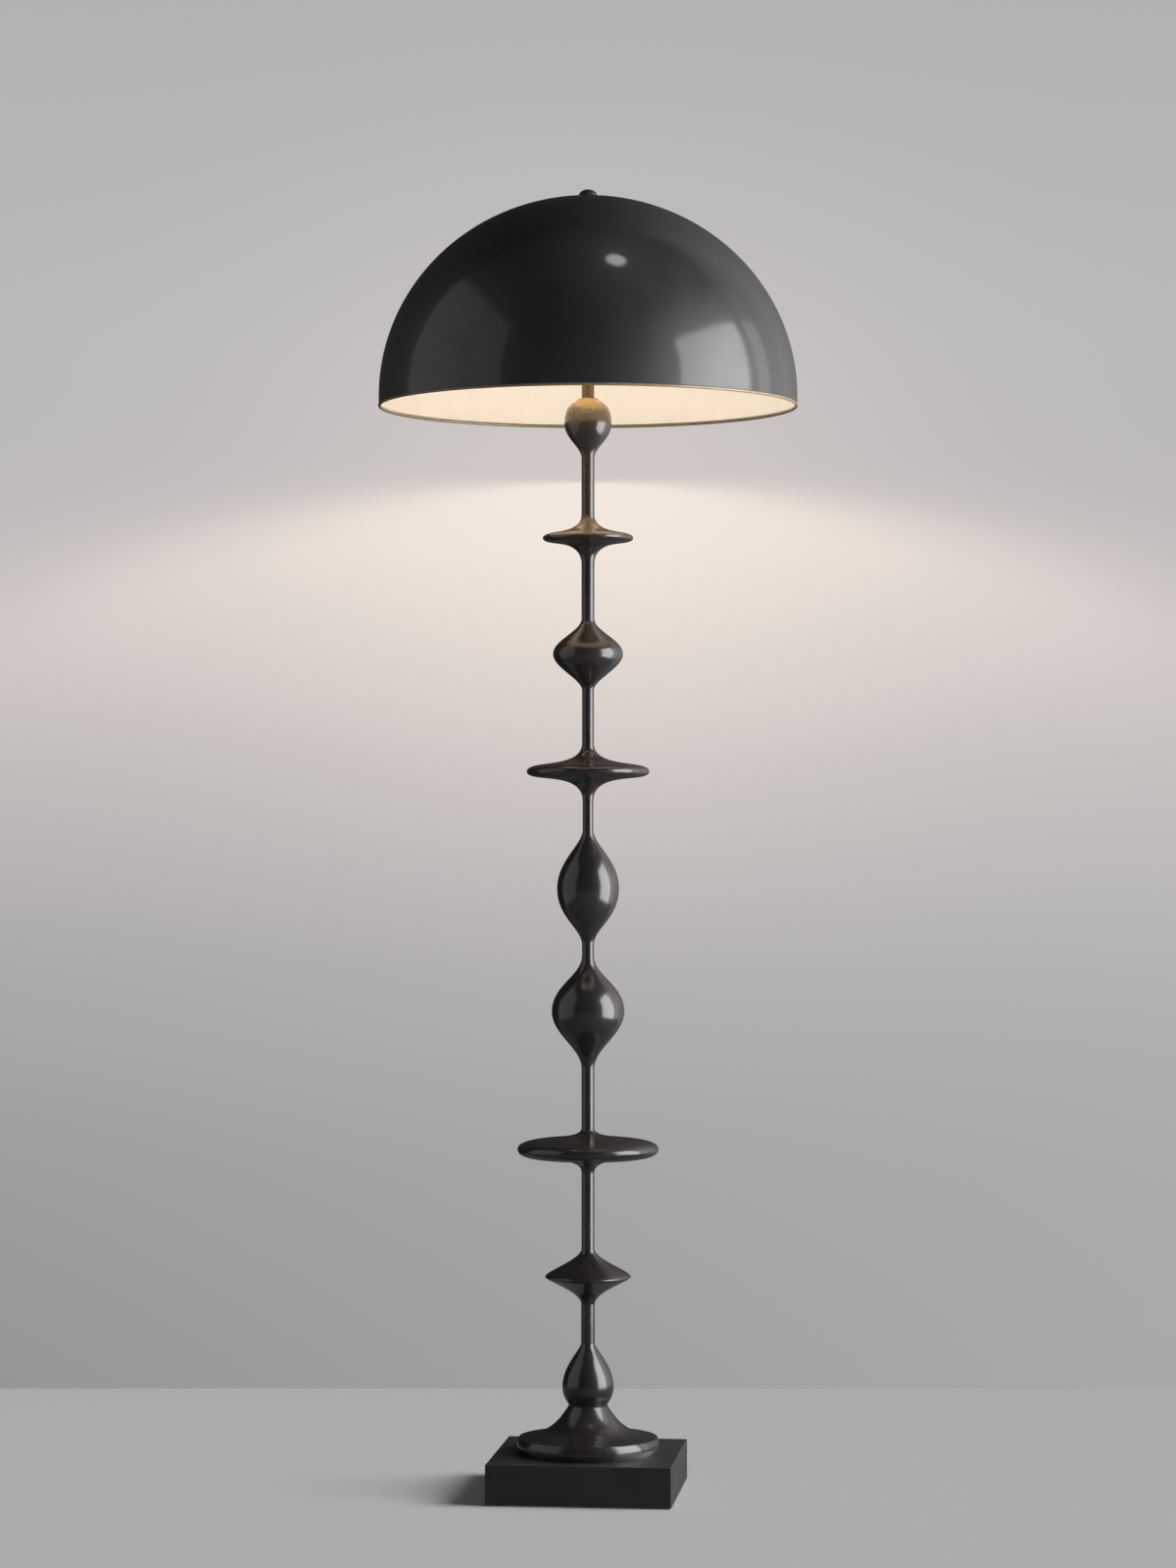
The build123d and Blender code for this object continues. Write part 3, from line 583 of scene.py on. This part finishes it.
def build_bulb():
    """Opal globe and collar of the bulb."""
    low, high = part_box("bulb_collar")
    cap_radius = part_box("bulb_cap")[1].x
    side = bead_side(cap_radius, low.z, high.x, high.z, 0.5, 0.3)
    mesh = lathe_mesh("bulb_collar", side + [(0.0, high.z), (0.0, low.z)], 96)
    finish_piece("bulb_collar_smooth", mesh, "stand", "white_plastic", "bulb_collar")
    collar_radius = high.x
    low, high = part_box("bulb_globe")
    wall = 1.0 * MM
    widest = high.z - high.x
    outline = bead_side(collar_radius, low.z, high.x, widest, 0.3, 0.5, steps=24)
    outline += globe_cap(high.x, widest)
    outline += globe_cap(high.x - wall, widest)[::-1]
    outline += bead_side(collar_radius - wall, low.z, high.x - wall, widest, 0.3, 0.5, steps=24)[::-1]
    mesh = lathe_mesh("bulb_globe", outline, 128)
    globe = finish_piece("bulb_globe_opal", mesh, "stand", "globe_glass", "bulb_globe")
    globe.visible_shadow = False


def globe_cap(radius, widest, steps=32):
    """Upper half of the globe, from just above its widest place to its pole."""
    angles = [pi / 2 * step / steps for step in range(1, steps + 1)]
    points = [(radius * cos(angle), widest + radius * sin(angle)) for angle in angles]
    points[-1] = (0.0, widest + radius)
    return points


# ---------------------------------------------------------------- pieces that keep their CAD shape


def dress_cad_nodes():
    """Gives every CAD node the finish of its slot in the record."""
    slots = {entry["node"]: entry["material_slot"] for entry in frame["record"]["subparts"]}
    for name, item in frame["nodes"].items():
        material = MATERIALS[slots[name]]
        item.data.materials.clear()
        item.data.materials.append(material)


build_foot()
build_beads()
build_necks()
build_stem()
build_plinth()
build_shade()
build_lining()
build_finial()
build_bulb()
dress_cad_nodes()

# ---------------------------------------------------------------- stage

CAMERA_DISTANCE = 4.804
CAMERA_AZIMUTH = radians(6.27)
CAMERA_HEIGHT = 0.820
CAMERA_LENS = 91.08
CAMERA_RISE = 0.0198
SENSOR = 36.0
FLOOR_REACH = 6.0
WALL_PLACE = 0.870
WALL_HALF = 3.0
WALL_HEIGHT = 5.0
SIDE_PLACE = 1.5

# The backdrop's greys, bottom to top, as shares of the height that they span: painted light, paler at the
# lamp's height.
WALL_GREYS_HEIGHT = 2.0
WALL_GREYS = (
    (0.0, (0.278, 0.293, 0.307, 1.0)),
    (0.15, (0.280, 0.295, 0.316, 1.0)),
    (0.30, (0.306, 0.316, 0.354, 1.0)),
    (0.45, (0.378, 0.378, 0.405, 1.0)),
    (0.60, (0.500, 0.478, 0.485, 1.0)),
    (0.75, (0.493, 0.479, 0.489, 1.0)),
    (1.0, (0.447, 0.444, 0.448, 1.0)),
)

# The lamp's pool of light, painted on the backdrop: an arch-shaped upper edge, softer away from the middle,
# that fades downwards, and a wide halo round it. Lengths in metres, colours linear.
POOL_TOP = 1.2962
POOL_SLOPE = 0.4357
POOL_EDGE = 0.0012
POOL_SPREAD = 0.058
POOL_SPREAD_POWER = 1.40
POOL_DECAY = 0.959
POOL_FALLOFF = 0.314
POOL_COLOUR = (0.275, 0.2245, 0.166)
HALO_HALF_WIDTH = 0.467
HALO_HALF_HEIGHT = 0.4246
HALO_LEVEL = 1.219
HALO_COLOUR = (0.1405, 0.111, 0.0814)
# Painted side light on the backdrop: brighter to the right and darker to the left, more so further below the
# pool's top.
SIDE_LIGHT_COLOUR = (0.0393, 0.041, 0.0411)

# How brightly the backdrop lights the lamp, and how it shows in the lamp's gloss: brighter to the right.
WALL_FILL = 0.3
GLOSS_START = -0.15
GLOSS_END = 1.0
GLOSS_REACH = 1.14
GLOSS_FLOOR = 0.06
GLOSS_DIM_START = 1.6
GLOSS_DIM_END = 2.6
GLOSS_DIM_LEVEL = 0.8
GLOSS_CUT_START = 3.0
GLOSS_CUT_END = 4.8

# The floor and the room round it, as they are seen, and as they show in the lamp's gloss.
FLOOR_SEEN = srgb(176, 176, 177)
FLOOR_IN_GLOSS = srgb(104, 104, 105)
ROOM_LIGHT = (0.13, 0.13, 0.135, 1.0)
ROOM_IN_GLOSS = (0.03, 0.03, 0.031, 1.0)
ROOM_SEEN = srgb(176, 174, 174)

# Radiance of each panel and room lamp, the low sun's strength and angle, and the bulb's powers.
WINDOW_PANEL = 5.8
WINDOW_END_PANEL = 1.7
CARD_PANEL = 0.44
WINDOW_LAMP = 8.0
OVERHEAD_LAMP = 7.0
PLINTH_LAMP = 10.0
UNDERSIDE_LAMP = 3.0
SUN_STRENGTH = 4.3
SUN_ANGLE = radians(34.0)
BULB_POWER = 1.22
BULB_SIZE = 0.028
LINING_POWER = 1.0
BULB_COLOUR = srgb(255, 237, 218)[:3]
AMBER = srgb(255, 203, 112)[:3]


def build_camera():
    """The photograph's view: level, from a little to the right of the front."""
    data = bpy.data.cameras.new("photo_view")
    data.sensor_width = SENSOR
    data.lens = CAMERA_LENS
    data.shift_y = CAMERA_RISE
    camera = bpy.data.objects.new("photo_view", data)
    bpy.context.scene.collection.objects.link(camera)
    camera.location = (
        CAMERA_DISTANCE * sin(CAMERA_AZIMUTH),
        -CAMERA_DISTANCE * cos(CAMERA_AZIMUTH),
        CAMERA_HEIGHT,
    )
    camera.rotation_euler = (pi / 2, 0.0, CAMERA_AZIMUTH)
    bpy.context.scene.camera = camera


def stage_plane(name, corners, material):
    """A flat four-cornered stage piece."""
    mesh = bpy.data.meshes.new(name)
    mesh.from_pydata(corners, [], [(0, 1, 2, 3)])
    mesh.materials.append(material)
    plane = bpy.data.objects.new(name, mesh)
    bpy.context.scene.collection.objects.link(plane)
    plane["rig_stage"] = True
    return plane


def clear_behind(graph, shader):
    """Shows the shader on the front of the faces and nothing on their back."""
    clear = graph.node("ShaderNodeBsdfTransparent")
    facing = graph.node("ShaderNodeNewGeometry").outputs["Backfacing"]
    mixed = graph.node("ShaderNodeMixShader", {0: facing, 1: shader.outputs[0], 2: clear.outputs[0]})
    graph.tree.links.new(mixed.outputs[0], graph.output.inputs["Surface"])


def floor_material():
    """Plain pale floor, dim in reflections. Unseen from below."""
    graph = Graph("stage_floor")
    rays = graph.node("ShaderNodeLightPath").outputs
    colour = graph.ramp(rays["Is Glossy Ray"], (0.0, FLOOR_SEEN), (1.0, FLOOR_IN_GLOSS))
    graph.set(Base_Color=colour, Roughness=0.9, Specular_IOR_Level=0.0)
    clear_behind(graph, graph.shader)
    return graph.material


def panel_material(name, radiance, soft):
    """A glow that fades out towards the panel's edges."""
    graph = Graph(name)
    graph.tree.nodes.remove(graph.shader)
    coordinates = graph.node("ShaderNodeTexCoord").outputs["Generated"]
    split = graph.node("ShaderNodeSeparateXYZ", {"Vector": coordinates})
    level = radiance
    for axis, width in zip("YZ", soft):
        out = graph.math("ABSOLUTE", graph.math("SUBTRACT", split.outputs[axis], 0.5))
        level = graph.math("MULTIPLY", graph.range(out, 0.5 - width, 0.5, 1.0, 0.0, "SMOOTHSTEP"), level)
    emission = graph.node("ShaderNodeEmission", {"Color": (1.0, 1.0, 1.0, 1.0), "Strength": level})
    graph.tree.links.new(emission.outputs[0], graph.output.inputs["Surface"])
    return graph.material


def wall_material():
    """Backdrop of grey with painted light: paler at the lamp's height, with the lamp's warm pool, its halo
    and a side light painted on it. Unseen from behind.
    """
    graph = Graph("stage_wall")
    graph.tree.nodes.remove(graph.shader)
    coordinates = graph.node("ShaderNodeTexCoord").outputs["Object"]
    split = graph.node("ShaderNodeSeparateXYZ", {"Vector": coordinates})
    across, up = split.outputs["X"], split.outputs["Z"]
    base = graph.ramp(graph.range(up, 0.0, WALL_GREYS_HEIGHT, 0.0, 1.0), *WALL_GREYS)
    across_squared = graph.math("MULTIPLY", across, across)
    slant = graph.math("SQRT", graph.math("ADD", across_squared, WALL_PLACE**2))
    fall = graph.math("MULTIPLY", graph.math("SUBTRACT", slant, WALL_PLACE), POOL_SLOPE)
    depth = graph.math("SUBTRACT", graph.math("SUBTRACT", POOL_TOP, fall), up)
    spread = graph.math("POWER", graph.math("ABSOLUTE", across), POOL_SPREAD_POWER)
    soft = graph.math("MULTIPLY_ADD", spread, POOL_SPREAD, POOL_EDGE)
    steep = graph.math("MAXIMUM", graph.math("DIVIDE", depth, soft), -30.0)
    fade = graph.math("EXPONENT", graph.math("MULTIPLY", steep, -1.0))
    inside = graph.math("DIVIDE", 1.0, graph.math("ADD", 1.0, fade))
    below = graph.math("DIVIDE", graph.math("MAXIMUM", depth, 0.0), -POOL_DECAY)
    decay = graph.math("EXPONENT", below)
    spare = graph.math("POWER", graph.math("DIVIDE", WALL_PLACE, slant), 2 * POOL_FALLOFF)
    pool = graph.math("MULTIPLY", graph.math("MULTIPLY", inside, decay), spare)
    halo_across = graph.math("DIVIDE", across, HALO_HALF_WIDTH)
    halo_across = graph.math("MULTIPLY", halo_across, halo_across)
    halo_up = graph.math("DIVIDE", graph.math("SUBTRACT", up, HALO_LEVEL), HALO_HALF_HEIGHT)
    halo_up = graph.math("MULTIPLY", halo_up, halo_up)
    halo = graph.math("EXPONENT", graph.math("MULTIPLY", graph.math("ADD", halo_across, halo_up), -1.0))
    # Painted side light: the backdrop grows brighter to the right and darker to the left below the pool's
    # top.
    side_light_ramp = graph.math("MULTIPLY", across, graph.math("MAXIMUM", graph.math("SUBTRACT", POOL_TOP, up), 0.0))
    lit = base
    for colour, amount in ((POOL_COLOUR, pool), (HALO_COLOUR, halo), (SIDE_LIGHT_COLOUR, side_light_ramp)):
        scaled = graph.node("ShaderNodeVectorMath", {0: colour, "Scale": amount}, operation="SCALE")
        added = graph.node("ShaderNodeVectorMath", {0: lit, 1: scaled.outputs[0]}, operation="ADD")
        lit = added.outputs[0]
    rays = graph.node("ShaderNodeLightPath").outputs
    rightward = graph.range(across, GLOSS_START, GLOSS_END, 0.0, GLOSS_REACH)
    mirrored = graph.math("MULTIPLY_ADD", rightward, rightward, GLOSS_FLOOR)
    dimmer = graph.range(up, GLOSS_DIM_START, GLOSS_DIM_END, 1.0, GLOSS_DIM_LEVEL)
    mirrored = graph.math("MULTIPLY", mirrored, dimmer)
    mirrored = graph.math("MULTIPLY", mirrored, graph.range(up, GLOSS_CUT_START, GLOSS_CUT_END, 1.0, 0.0))
    mirrored = graph.math("SUBTRACT", mirrored, WALL_FILL)
    strength = graph.math("MULTIPLY_ADD", rays["Is Camera Ray"], 1.0 - WALL_FILL, WALL_FILL)
    strength = graph.math("MULTIPLY_ADD", rays["Is Glossy Ray"], mirrored, strength)
    emission = graph.node("ShaderNodeEmission", {"Color": lit, "Strength": strength})
    clear_behind(graph, emission)
    return graph.material


def build_stage():
    """Pale floor, and the backdrop behind the lamp, square to the camera."""
    corners = ((-1, -1), (1, -1), (1, 1), (-1, 1))
    stage_plane("floor", [(x * FLOOR_REACH, y * FLOOR_REACH, 0.0) for x, y in corners], floor_material())
    corners = ((-1, 0), (1, 0), (1, 1), (-1, 1))
    points = [(x * WALL_HALF, WALL_PLACE, z * WALL_HEIGHT) for x, z in corners]
    wall = stage_plane("backdrop", points, wall_material())
    wall.rotation_euler.z = CAMERA_AZIMUTH


def area_light(name, place, target, size, power, colour=(1.0, 1.0, 1.0), shape="RECTANGLE"):
    """A soft lamp at a place, turned to a target. It isn't seen itself."""
    data = bpy.data.lights.new(name, "AREA")
    data.shape = shape
    data.size, data.size_y = size
    data.energy = power
    data.color = colour
    light = bpy.data.objects.new(name, data)
    bpy.context.scene.collection.objects.link(light)
    light.location = place
    light.rotation_euler = (Vector(target) - Vector(place)).to_track_quat("-Z", "Y").to_euler()
    light.visible_camera = False
    return light


def piece_group(name, pieces):
    """A collection of pieces that a light is linked to."""
    group = bpy.data.collections.new(name)
    for piece in pieces:
        group.objects.link(piece)
    return group


def light_only(light, pieces):
    """Keeps a light to the given pieces."""
    light.light_linking.receiver_collection = piece_group(f"{light.name}_lit", pieces)


def shadow_only(light, pieces):
    """Keeps a light's shadows to those of the given pieces."""
    light.light_linking.blocker_collection = piece_group(f"{light.name}_casters", pieces)


def radiant_power(radiance, size):
    """Power of a rectangular lamp whose face has that radiance."""
    return radiance * pi * size[0] * size[1]


def glow_panel(name, x, span, height, radiance, soft):
    """An upright panel at the lamp's side that shows in reflections alone."""
    (front, back), (bottom, top) = span, height
    corners = [(x, front, bottom), (x, back, bottom), (x, back, top), (x, front, top)]
    panel = stage_plane(name, corners, panel_material(name, radiance, soft))
    for ray in ("camera", "diffuse", "shadow", "transmission", "volume_scatter"):
        setattr(panel, f"visible_{ray}", False)


def build_panels():
    """Bright windows on the right and a dim card on the left, for the gloss."""
    window_height = (-0.5, 2.24)
    glow_panel("window_glow", SIDE_PLACE, (-1.13, 0.27), window_height, WINDOW_PANEL, (0.07, 0.05))
    glow_panel("window_end_glow", SIDE_PLACE, (0.37, 0.84), window_height, WINDOW_END_PANEL, (0.20, 0.05))
    glow_panel("card_glow", -SIDE_PLACE, (-1.90, 0.36), (-0.6, 3.02), CARD_PANEL, (0.05, 0.08))


def build_room_lamps(pieces):
    """The window's light from the right, a small lamp overhead, and one that grazes the plinth."""
    size = (1.8, 2.3)
    place, target = (SIDE_PLACE, -0.3, 1.2), (0.0, -0.3, 1.2)
    window = area_light("window_right", place, target, size, radiant_power(WINDOW_LAMP, size))
    window.visible_glossy = False
    inside = ("shade_inner_coat", "harp_", "socket_", "bulb_", "switch_", "stem_tube")
    light_only(window, [piece for piece in pieces if not piece.name.startswith(inside)])
    size, place = (0.20, 0.20), (0.31, -0.36, 2.7)
    power = radiant_power(OVERHEAD_LAMP, size)
    overhead = area_light("overhead", place, (0.0, -0.1, 1.5), size, power, shape="DISK")
    light_only(overhead, pieces)
    size, place = (0.8, 0.8), (1.1, 0.5, 0.75)
    graze = area_light("plinth_graze", place, (0.0, 0.0, 0.05), size, radiant_power(PLINTH_LAMP, size))
    light_only(graze, [piece for piece in pieces if piece.name == "base_shell_cover"])


def build_floor_key(pieces):
    """A soft low light from the right that lays the base's shadow on the floor."""
    sun = bpy.data.lights.new("floor_key", "SUN")
    sun.energy = SUN_STRENGTH
    sun.angle = SUN_ANGLE
    key = bpy.data.objects.new("floor_key", sun)
    bpy.context.scene.collection.objects.link(key)
    key.rotation_euler = Vector((-1.0, 0.03, -0.72)).to_track_quat("-Z", "Y").to_euler()
    light_only(key, [item for item in bpy.data.objects if item.name == "floor"])
    base = ("base_shell_cover", "foot_bell_turned", "teardrop_lower_turned")
    shadow_only(key, [piece for piece in pieces if piece.name in base])


def build_underside_fill(pieces):
    """A soft lamp below the floor that shows the base's underside."""
    size, place = (1.6, 1.6), (0.0, 0.0, -0.7)
    fill = area_light("underside_fill", place, (0.0, 0.0, 0.0), size, radiant_power(UNDERSIDE_LAMP, size))
    light_only(fill, [piece for piece in pieces if piece.name.startswith(("bottom_plate", "foot_pad"))])
    shadow_only(fill, pieces)


def bulb_light(name, level, power, pieces):
    """A small warm lamp on the axis, for the given pieces alone."""
    bulb = bpy.data.lights.new(name, "POINT")
    bulb.energy = power
    bulb.color = BULB_COLOUR
    bulb.shadow_soft_size = BULB_SIZE
    lamp = bpy.data.objects.new(name, bulb)
    bpy.context.scene.collection.objects.link(lamp)
    lamp.location = (0.0, 0.0, level)
    lamp.visible_camera = False
    lamp.visible_glossy = False
    light_only(lamp, pieces)
    return lamp


def build_bulb_glow(pieces):
    """The bulb's light on what is round it, evenly on the lining, and warm on the column below."""
    globe_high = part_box("bulb_globe")[1]
    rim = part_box("shade_shell")[0].z
    lining = [piece for piece in pieces if piece.name == "shade_inner_coat"]
    others = [piece for piece in pieces if piece not in lining]
    bulb_light("bulb_light", globe_high.z - globe_high.x, BULB_POWER, others)
    shadow_only(bulb_light("lining_light", rim + 0.040, LINING_POWER, lining), lining)
    column = ("neck_8", "saucer_small", "neck_7", "onion_small", "neck_6", "saucer_medium", "neck_5")
    spills = (
        ("bead_spill", rim + 0.080, 0.10, 8.0, ("teardrop_top",)),
        ("saucer_spill", rim + 0.056, 0.34, 7.0, ("saucer_small",)),
        ("column_spill", rim + 0.030, 0.44, 3.4, ("teardrop_top", *column)),
    )
    for name, level, width, power, names in spills:
        spill = area_light(name, (0.0, 0.0, level), (0.0, 0.0, 0.0), (width, width), power, AMBER, "DISK")
        spill.visible_glossy = False
        light_only(spill, [piece for piece in pieces if piece.name.removesuffix("_turned") in names])


def build_lights():
    """Every panel and lamp. The lamps are linked to the object's own pieces."""
    pieces = [item for item in bpy.data.objects if item.type == "MESH" and not item.get("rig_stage")]
    build_panels()
    build_room_lamps(pieces)
    build_floor_key(pieces)
    build_underside_fill(pieces)
    build_bulb_glow(pieces)


def build_world():
    """Soft grey surroundings, darker in reflections, and the backdrop's grey to the camera."""
    world = bpy.data.worlds.new("studio")
    bpy.context.scene.world = world
    world.use_nodes = True
    tree = world.node_tree
    background = tree.nodes["Background"]
    rays = tree.nodes.new("ShaderNodeLightPath")
    seen = tree.nodes.new("ShaderNodeMix")
    seen.data_type = "RGBA"
    seen.inputs[6].default_value = ROOM_LIGHT
    seen.inputs[7].default_value = ROOM_SEEN
    tree.links.new(rays.outputs["Is Camera Ray"], seen.inputs[0])
    glossy = tree.nodes.new("ShaderNodeMix")
    glossy.data_type = "RGBA"
    glossy.inputs[7].default_value = ROOM_IN_GLOSS
    tree.links.new(rays.outputs["Is Glossy Ray"], glossy.inputs[0])
    tree.links.new(seen.outputs[2], glossy.inputs[6])
    tree.links.new(glossy.outputs[2], background.inputs["Color"])


build_camera()
build_stage()
build_lights()
build_world()
bpy.context.scene.view_settings.view_transform = "Standard"
